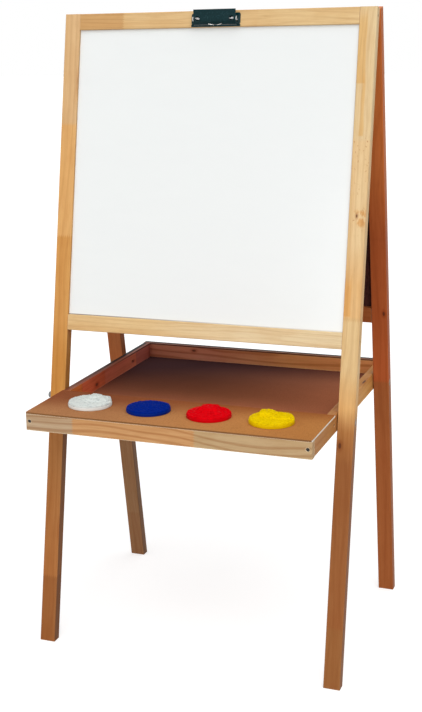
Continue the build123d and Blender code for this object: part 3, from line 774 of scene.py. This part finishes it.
# The plain mesh of an object with its modifiers or bevel; the object and its helpers go.
def meshOf(name, made, *helpers):
    mesh = bpy.data.meshes.new_from_object(made.evaluated_get(bpy.context.evaluated_depsgraph_get()))
    mesh.name = name
    for spare in (*helpers, made):
        bpy.data.objects.remove(spare)
    return mesh


def meshFrom(build, name, smooth=True):
    bmesh.ops.remove_doubles(build, verts=build.verts, dist=1e-6)
    bmesh.ops.recalc_face_normals(build, faces=build.faces)
    mesh = bpy.data.meshes.new(name)
    build.to_mesh(mesh)
    build.free()
    mesh.polygons.foreach_set("use_smooth", [smooth] * len(mesh.polygons))
    return mesh


# Rounds each inner corner of an outline with a short curve, which takes less than half of a side.
def softened(outline, size, steps=4, sideShare=1 / 2.2):
    made = [outline[0]]
    for before, corner, after in zip(outline, outline[1:], outline[2:]):
        corner = Vector(corner)
        near = Vector(before) - corner
        far = Vector(after) - corner
        reach = min(size, near.length * sideShare, far.length * sideShare)
        start = corner + near.normalized() * reach
        end = corner + far.normalized() * reach
        for step in range(steps + 1):
            t = step / steps
            made.append(tuple(start.lerp(corner, t).lerp(corner.lerp(end, t), t)))
    return made + [outline[-1]]


# Turns an outline of (radius, height) points round the third of the axes; shape may move each point.
def turned(name, outline, centre, around, shape=None, axes=Matrix.Identity(3)):
    build = bmesh.new()
    loops = []
    for radius, height in outline:
        loop = []
        for step in range(around):
            angle = 2 * math.pi * step / around
            point = Vector((radius * math.cos(angle), radius * math.sin(angle), height))
            loop.append(build.verts.new(centre + axes @ (shape(point) if shape else point)))
        loops.append(loop)
    for lower, upper in zip(loops, loops[1:]):
        for step in range(around):
            follow = (step + 1) % around
            build.faces.new([lower[step], lower[follow], upper[follow], upper[step]])
    return meshFrom(build, name)


# Paint pots: thin moulded cups that hang by a rolled rim.
potShape = {"wall": 0.002, "taper": 0.003, "rim": 0.0055, "neck": 0.0046, "round": 0.0013, "around": 128}


def potOutline(low, high):
    rim = (high.x - low.x) / 2
    top = high.z
    seat = top - potShape["rim"]
    neck = rim - potShape["neck"]
    wall = potShape["wall"]
    base = neck - potShape["taper"]
    outside = [(0, low.z), (base, low.z), (neck, seat), (rim, seat), (rim, top)]
    inside = [(rim - wall, top), (rim - wall, seat + wall), (neck - wall, seat + wall),
              (base - wall, low.z + wall), (0, low.z + wall)]
    return softened(outside + inside, potShape["round"])


# Paint heaps: each colour is spooned in its own way on a base, as flat-topped lumps of
# (right, back, half width, half depth, height above the base) in millimetres.
heapShape = {
    "edge": 0.0002, "shoulder": 0.0022, "spill": 0.0004, "skim": 0.00005, "over": 0.002, "rings": 60,
    "around": 168, "square": 4, "flat": 2, "wander": 0.0026, "wanderSize": 90, "ripple": 0.0009,
    "rippleSize": 210.0, "rippleDetail": (0.6, 2.0, 3), "noiseSeed": 14,
}
heaps = {
    "white": {"base": 3.4, "seed": 3.1, "lumps": [
        (2, 2, 34, 31, 1.2), (8, 10, 26, 22, 3.8), (3, 17, 13, 14, 6.0), (22, 12, 12, 16, 4.4)]},
    "blue": {"base": 2.6, "seed": 7.7, "lumps": [(5, 4, 32, 29, 1.2), (8, 9, 26, 21, 2.2)]},
    "red": {"base": 3.0, "seed": 12.4, "lumps": [
        (0, 0, 35, 31, 1.2), (-3, 11, 19, 19, 7.4), (1, 6, 28, 24, 3.6)]},
    "yellow": {"base": 3.4, "seed": 19.2, "lumps": [
        (0, 0, 37, 33, 1.0), (-13, 15, 15, 16, 6.8), (12, 10, 23, 20, 3.8)]},
}


# How high the lumps stand over a point of the heap.
def lumpHeight(lumps, x, y):
    rise = 0.0
    for right, back, wide, deep, height in lumps:
        aside = abs(x - right * millimetre) / (wide * millimetre)
        behind = abs(y - back * millimetre) / (deep * millimetre)
        away = aside ** heapShape["square"] + behind ** heapShape["square"]
        if away < 1:
            rise = max(rise, height * millimetre * (1 - away ** heapShape["flat"]))
    return rise


def paintHeap(colour, low, high, potLow, potHigh):
    heap = heaps[colour]
    reach = (high.x - low.x) / 2
    rim = (potHigh.x - potLow.x) / 2
    spill = rim - heapShape["spill"]
    under = potHigh.z + heapShape["skim"]  # the underside of what lies on the rim
    crown = high.z - potHigh.z + heapShape["over"]
    centre = Vector(((low.x + high.x) / 2, (low.y + high.y) / 2, 0))
    seed = Vector((heap["seed"], 0, 0))

    def heaped(point):
        if point.z <= under:
            return point
        out = math.hypot(point.x, point.y)
        inside = max(0.0, min(1.0, (spill - out) / heapShape["shoulder"]))
        shoulder = math.sqrt(1 - (1 - inside) ** 2)
        wander = noise.noise_vector(point * heapShape["wanderSize"] + seed) * heapShape["wander"]
        rise = lumpHeight(heap["lumps"], point.x + wander.x, point.y + wander.y)
        ripple = noise.fractal(point * heapShape["rippleSize"] + seed, *heapShape["rippleDetail"])
        lift = shoulder * (heap["base"] * millimetre + rise + ripple * heapShape["ripple"])
        return Vector((point.x, point.y, point.z + max(0.0, min(lift, crown))))

    wall = potShape["wall"] + heapShape["edge"]
    seat = potHigh.z - potShape["rim"] + wall
    neck = rim - potShape["neck"] - wall
    outline = [(0, low.z), (neck - potShape["taper"], low.z), (neck, seat), (reach, seat),
               (reach, under), (spill, under)]
    for ring in range(heapShape["rings"] + 1):
        outline.append((spill * (1 - ring / heapShape["rings"]), under + heapShape["skim"]))
    return turned("paintHeap_" + colour, outline, centre, heapShape["around"], heaped)


noise.seed_set(heapShape["noiseSeed"])  # so that the lumps wander the same way each run
for colour in heaps:
    body = colour + "_pot"
    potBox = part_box("pot_" + colour)
    middle = (potBox[0] + potBox[1]) / 2
    middle.z = 0
    cup = turned("potCup_" + colour, potOutline(*potBox), middle, potShape["around"])
    newPiece("potCup_" + colour, cup, plastics[colour], body, colour + "_plastic", "pot_" + colour)
    heap = paintHeap(colour, *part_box("paint_" + colour), *potBox)
    newPiece("paintHeap_" + colour, heap, paints[colour], body, colour + "_paint", "paint_" + colour)
print("easel: pots and paint heaps made")

# Paper clip. Places on it are (across, up the rail, out of the rail) in millimetres from its pin's middle.
pinLow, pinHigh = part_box("clip_pin")
pinMiddle = (pinLow + pinHigh) / 2
clipAxes = Matrix((Vector(toRight), frontUp, frontOut)).transposed()


def clipPoint(across, up, out):
    return pinMiddle + clipAxes @ (Vector((across, up, out)) * millimetre)


# The base plate is enamelled like the lever, and its two ears are bare nickel.
clipBaseLook = {"plateTop": -0.0034, "border": 0.0003, "gloss": 0.2, "marks": 9.0}


def clipBaseMaterial():
    material, place = newMaterial("clipBaseFinish", clipBaseLook["gloss"])[:2]
    marks = useGroup(marksGroup, Place=place, Size=clipBaseLook["marks"])
    start = pinMiddle.dot(frontOut) + clipBaseLook["plateTop"]
    out = vectorCalc("DOT_PRODUCT", place, frontOut)
    bare = ramp(out, start, start + clipBaseLook["border"])
    enamel = metalLooks["blackEnamel"]
    nickel = metalLooks["polishedNickel"]
    # the enamel's lighter spots are a painted sheen
    plate = blend(marks["Spots"], enamel["base"], enamel["dullAndSheen"])
    ears = blend(marks["Spots"], nickel["base"], nickel["dullAndSheen"])
    rough = ramp(marks["Smear"], 0.0, 1.0, *nickel["rough"])
    link(bare, shaderOf(material)["Metallic"])
    return finishMaterial(material, blend(bare, plate, ears), rough)


# Lever: a bent plate that flares to the jaw, with a cheek down to the pin and a round window at each end.
leverShape = {
    "plate": 1.2, "half": 40.5, "jawHalf": 47.0, "flare": (-6.5, -10.0), "bend": 2.6, "bendSteps": 8,
    "columns": 60, "line": [(-13.6, -4.5), (-10.6, -4.5), (-4.6, 3.9), (4.6, 4.5), (13.2, 5.8), (16.2, 6.8)],
    "cheekAt": 39.9, "cheek": 3.4, "cheekTop": (4.2, 3.9), "cheekSteps": 12,
    "window": 4.5, "windowAt": 32.7, "windowReach": (1.0, 9.0), "windowAround": 40, "sharp": math.radians(35),
}


def leverHalf(up):
    start, end = leverShape["flare"]
    part = max(0.0, min(1.0, (up - start) / (end - start)))
    return leverShape["half"] + (leverShape["jawHalf"] - leverShape["half"]) * part


# Closes a wall between two rows of points.
def joinRows(build, first, second):
    for a, b, c, d in zip(first, first[1:], second[1:], second):
        build.faces.new([a, b, c, d])


def addLeverPlate(build):
    line = softened(leverShape["line"], leverShape["bend"], leverShape["bendSteps"])
    line = [Vector(point) for point in line]
    spans = [2 * column / leverShape["columns"] - 1 for column in range(leverShape["columns"] + 1)]
    sheets = []
    for side in (1, -1):
        rows = []
        for index, point in enumerate(line):
            along = line[min(index + 1, len(line) - 1)] - line[max(index - 1, 0)]
            out = Vector((-along.y, along.x)).normalized() * side * leverShape["plate"] / 2
            half = leverHalf(point.x)
            rows.append([build.verts.new(clipPoint(half * span, *(point + out))) for span in spans])
        for lower, upper in zip(rows, rows[1:]):
            joinRows(build, lower, upper)
        sheets.append(rows)
    front, back = sheets
    for end in (0, -1):
        joinRows(build, front[end], back[end])
        joinRows(build, [row[end] for row in front], [row[end] for row in back])


def addLeverCheek(build, side):
    radius = leverShape["cheek"]
    top, lowTop = leverShape["cheekTop"]
    turns = [math.pi * step / leverShape["cheekSteps"] for step in range(leverShape["cheekSteps"] + 1)]
    outline = [(radius, top)]
    outline += [(radius * math.cos(turn), -radius * math.sin(turn)) for turn in turns]
    outline += [(-radius, lowTop)]
    faces = []
    for edge in (-0.5, 0.5):
        across = side * leverShape["cheekAt"] + edge * leverShape["plate"]
        faces.append([build.verts.new(clipPoint(across, *point)) for point in outline])
    for face in faces:
        build.faces.new(face)
    inner, outer = faces
    joinRows(build, inner + inner[:1], outer + outer[:1])


def leverMesh():
    build = bmesh.new()
    addLeverPlate(build)
    for side in (1, -1):
        addLeverCheek(build, side)
    plate = putInScene("leverBlank", meshFrom(build, "leverBlank"))
    low, high = (reach * millimetre for reach in leverShape["windowReach"])
    radius = leverShape["window"] * millimetre
    punches = []
    for side in (1, -1):
        middle = clipPoint(side * leverShape["windowAt"], 0, 0)
        outline = [(0, low), (radius, low), (radius, high), (0, high)]
        punch = turned("punch", outline, middle, leverShape["windowAround"], axes=clipAxes)
        punches.append(putInScene("punch", punch))
        cut = plate.modifiers.new("window", "BOOLEAN")
        cut.operation = "DIFFERENCE"
        cut.solver = "EXACT"
        cut.object = punches[-1]
    made = meshOf("clipLever", plate, *punches)
    made.polygons.foreach_set("use_smooth", [True] * len(made.polygons))
    made.set_sharp_from_angle(angle=leverShape["sharp"])
    return made


enamel = metals["blackEnamel"]
dress("clip_base", clipBaseMaterial())
newPiece("clipLeverPlate", leverMesh(), enamel, "clip_lever", "black_enamel", "clip_lever")

# Raised rims pressed round the two windows: (radius, out of the rail) in millimetres.
rimShape = {
    "around": 48,
    "line": [(4.5, 4.6), (4.5, 5.6), (5.0, 5.9), (5.6, 5.5), (6.2, 4.8), (6.2, 4.4), (4.5, 4.4)],
}
for side, hand in ((-1, "left"), (1, "right")):
    name = "clipWindowRim_" + hand
    outline = [(radius * millimetre, out * millimetre) for radius, out in rimShape["line"]]
    middle = clipPoint(side * leverShape["windowAt"], 0, 0)
    rim = turned(name, outline, middle, rimShape["around"], axes=clipAxes)
    newPiece(name, rim, enamel, "clip_lever", "black_enamel")

# Bright tabs of the spring that bear on the jaw, and the bead along it, a pale line that stands in for the
# highlight on the jaw's bend, in millimetres.
jawShape = {"foot": (-10.6, -4.5), "slope": 1.4, "tabWire": 0.6, "tabInner": (3.4, -9.7),
            "tabOuter": (12.6, -8.2), "tabStand": 1.0, "bead": 0.3, "beadHalf": 41.0, "wireFine": 4}


def wireMesh(name, radius, runs):
    wire = bpy.data.curves.new(name, "CURVE")
    wire.dimensions = "3D"
    wire.bevel_depth = radius * millimetre
    wire.bevel_resolution = jawShape["wireFine"]
    wire.use_fill_caps = True
    for run in runs:
        spline = wire.splines.new("POLY")
        spline.points.add(len(run) - 1)
        for end, place in zip(spline.points, run):
            end.co = (*place, 1)
    return meshOf(name, putInScene(name, wire))


def onJaw(across, up, stand):
    footUp, footOut = jawShape["foot"]
    out = footOut + (up - footUp) * jawShape["slope"]
    lift = Vector((-jawShape["slope"], 1)).normalized() * stand
    return clipPoint(across, up + lift.x, out + lift.y)


tabEnds = (jawShape["tabInner"], jawShape["tabOuter"])
tabRuns = [[onJaw(side * across, up, jawShape["tabStand"]) for across, up in tabEnds] for side in (1, -1)]
tabs = wireMesh("clipSpringTabs", jawShape["tabWire"], tabRuns)
newPiece("clipSpringTabs", tabs, metals["polishedNickel"], "clip_lever", "steel")
# the bead is a pale steel line on the black jaw: a painted highlight along its bend
beadUp = jawShape["tabInner"][1]
beadRun = [onJaw(side * jawShape["beadHalf"], beadUp, leverShape["plate"] / 2) for side in (-1, 1)]
bead = wireMesh("clipJawHighlightBead", jawShape["bead"], [beadRun])
newPiece("clipJawHighlightBead", bead, metals["dullSteel"], "clip_lever", "black_enamel")
print("easel: clip pressed")

# Clip spring: two wire coils wound round the clip's pin.
coilShape = {"wire": 0.00055, "turns": 6.0, "length": 0.012, "fine": 22, "sides": 10}
coilInputs = {"Wire": "Float", "Radius": "Float", "Length": "Float", "Turns": "Float", "Spread": "Float",
              "Pin": "Vector", "Finish": "Material"}


def coilTree():
    tree = bpy.data.node_groups.new("clipCoils", "GeometryNodeTree")
    sockets = {}
    for label, kind in coilInputs.items():
        socket = tree.interface.new_socket(label, in_out="INPUT", socket_type="NodeSocket" + kind)
        sockets[label] = socket.identifier
    tree.interface.new_socket("Coils", in_out="OUTPUT", socket_type="NodeSocketGeometry")
    given = tree.nodes.new("NodeGroupInput").outputs
    spiral = addNode("GeometryNodeCurveSpiral", {
        "Resolution": coilShape["fine"], "Rotations": given["Turns"], "Start Radius": given["Radius"],
        "End Radius": given["Radius"], "Height": given["Length"]}).outputs[0]
    wire = addNode("GeometryNodeCurvePrimitiveCircle", {
        "Resolution": coilShape["sides"], "Radius": given["Wire"]}).outputs[0]
    coil = addNode("GeometryNodeCurveToMesh", {
        "Curve": spiral, "Profile Curve": wire, "Fill Caps": True}).outputs[0]
    coil = addNode("GeometryNodeSetShadeSmooth", {"Geometry": coil}).outputs[0]
    middle = addNode("ShaderNodeCombineXYZ", {"Z": product(given["Length"], -0.5)}).outputs[0]
    coil = addNode("GeometryNodeTransform", {"Geometry": coil, "Translation": middle}).outputs[0]
    both = tree.nodes.new("GeometryNodeJoinGeometry")
    for side in (1.0, -1.0):
        out = addNode("ShaderNodeCombineXYZ", {"X": product(given["Spread"], side)}).outputs[0]
        spot = vectorCalc("ADD", given["Pin"], out)
        laid = addNode("GeometryNodeTransform", {
            "Geometry": coil, "Translation": spot, "Rotation": (0, math.pi / 2, 0)})
        link(laid.outputs[0], both.inputs[0])
    real = addNode("GeometryNodeRealizeInstances", {"Geometry": both.outputs[0]}).outputs[0]
    finished = addNode("GeometryNodeSetMaterial", {"Geometry": real, "Material": given["Finish"]})
    link(finished.outputs[0], tree.nodes.new("NodeGroupOutput").inputs[0])
    return tree, sockets


def nodesMesh(name, tree, sockets, values):
    blank = putInScene(name + "Seed", bpy.data.meshes.new(name + "Seed"))
    modifier = blank.modifiers.new(name, "NODES")
    modifier.node_group = tree
    for label, value in values.items():
        modifier[sockets[label]] = value
    return meshOf(name, blank)


springLow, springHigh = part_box("clip_spring")
coils = nodesMesh("clipCoils", *coilTree(), {
    "Wire": coilShape["wire"],
    "Radius": (springHigh.z - springLow.z) / 2 - coilShape["wire"],
    "Length": coilShape["length"] - 2 * coilShape["wire"],
    "Turns": coilShape["turns"],
    "Spread": springHigh.x - coilShape["length"] / 2,
    "Pin": tuple(pinMiddle),
    "Finish": metals["brightSteel"]})
newPiece("clipCoils", coils, metals["brightSteel"], "front_frame", "steel", "clip_spring")
print("easel: clip spring wound")

# Floor and light. The floor is white to the camera and still takes the shadow.
studio = {
    "floorSize": 60.0, "floorDrop": 0.0004, "floorGlow": 0.66, "floorRough": 0.9, "ambient": 0.26,
    "floorTone": (0.52, 0.52, 0.52), "floorShade": (0.48, 0.48, 0.48), "mottle": (0.3, 0.7, 0.0, 0.12),
    "mottleSize": 3.0, "white": (1, 1, 1, 1), "lampDistance": 4,
}
lamps = {  # direction the light comes from, softness as an angle in degrees, and strength
    "keyLamp": ((0.55, -0.85, 0.90), 50.0, 1.30),
    "lowLamp": ((-0.05, -1.00, 0.14), 24.0, 0.50),
    "topLamp": ((0.10, -0.35, 1.00), 55.0, 0.82),
    "fillLamp": ((-0.80, -0.80, 0.50), 70.0, 0.36),
    "backLamp": ((0.50, 0.70, 1.00), 60.0, 0.60),
}


def backgroundRay(tree):
    light = tree.nodes.new("ShaderNodeLightPath").outputs
    seen = calc("MAXIMUM", light["Is Camera Ray"], light["Is Glossy Ray"])
    return calc("MAXIMUM", seen, light["Is Transmission Ray"])


def floorMaterial():
    plain = {"Roughness": studio["floorRough"], "Emission Color": studio["white"]}
    material, place = newMaterial("paleFloor", **plain)[:2]
    sockets = shaderOf(material)
    mottle = ramp(cloud(place, studio["mottleSize"], 3.0), *studio["mottle"])
    link(blend(mottle, studio["floorTone"], studio["floorShade"]), sockets["Base Color"])
    glow = product(backgroundRay(material.node_tree), studio["floorGlow"])
    link(glow, sockets["Emission Strength"])
    return material


build = bmesh.new()
bmesh.ops.create_grid(build, x_segments=1, y_segments=1, size=studio["floorSize"] / 2)
bmesh.ops.translate(build, verts=build.verts, vec=(0, 0, -studio["floorDrop"]))
floor = putInScene("studioFloor", meshFrom(build, "studioFloor", smooth=False))
floor.data.materials.append(floorMaterial())

world = bpy.data.worlds.new("softRoom")
world.use_nodes = True
bpy.context.scene.world = world
sky = world.node_tree.nodes["Background"].inputs
sky["Color"].default_value = studio["white"]
shown = calc("MULTIPLY_ADD", backgroundRay(world.node_tree), 1 - studio["ambient"], studio["ambient"])
link(shown, sky["Strength"])

for name, (source, soft, strength) in lamps.items():
    lamp = bpy.data.lights.new(name, "SUN")
    lamp.angle = math.radians(soft)
    lamp.energy = strength
    source = Vector(source)
    holder = putInScene(name, lamp)
    holder.location = source.normalized() * studio["lampDistance"]
    holder.rotation_euler = (-source).to_track_quat("-Z", "Y").to_euler()
print("easel: floor and lamps set")

# Camera at the viewing angle of the picture, whose frame is 422 by 712. Focal and offset are in its pixels.
view = {"frame": (422, 712), "place": (0.80958, -2.27229, 1.15763), "yaw": 22.141, "pitch": -12.992,
        "roll": -1.206, "focal": 1290.196, "offset": (-49.775, -27.35), "sensor": 36.0}
yaw, pitch, roll = (math.radians(view[turn]) for turn in ("yaw", "pitch", "roll"))
forward = Vector((-math.sin(yaw) * math.cos(pitch), math.cos(yaw) * math.cos(pitch), math.sin(pitch)))
level = Vector((math.cos(yaw), math.sin(yaw), 0))
upright = level.cross(forward)
rightward = math.cos(roll) * level + math.sin(roll) * upright
upward = math.cos(roll) * upright - math.sin(roll) * level
frameHeight = view["frame"][1]
lens = bpy.data.cameras.new("easelCamera")
lens.sensor_fit = "VERTICAL"
lens.sensor_height = view["sensor"]
lens.lens = view["focal"] * view["sensor"] / frameHeight
lens.shift_x = -view["offset"][0] / frameHeight
lens.shift_y = view["offset"][1] / frameHeight
camera = putInScene("easelCamera", lens)
turnMatrix = Matrix((rightward, upward, -forward)).transposed()
camera.matrix_world = Matrix.Translation(view["place"]) @ turnMatrix.to_4x4()
bpy.context.scene.camera = camera
print("easel: camera placed")

bpy.context.view_layer.update()
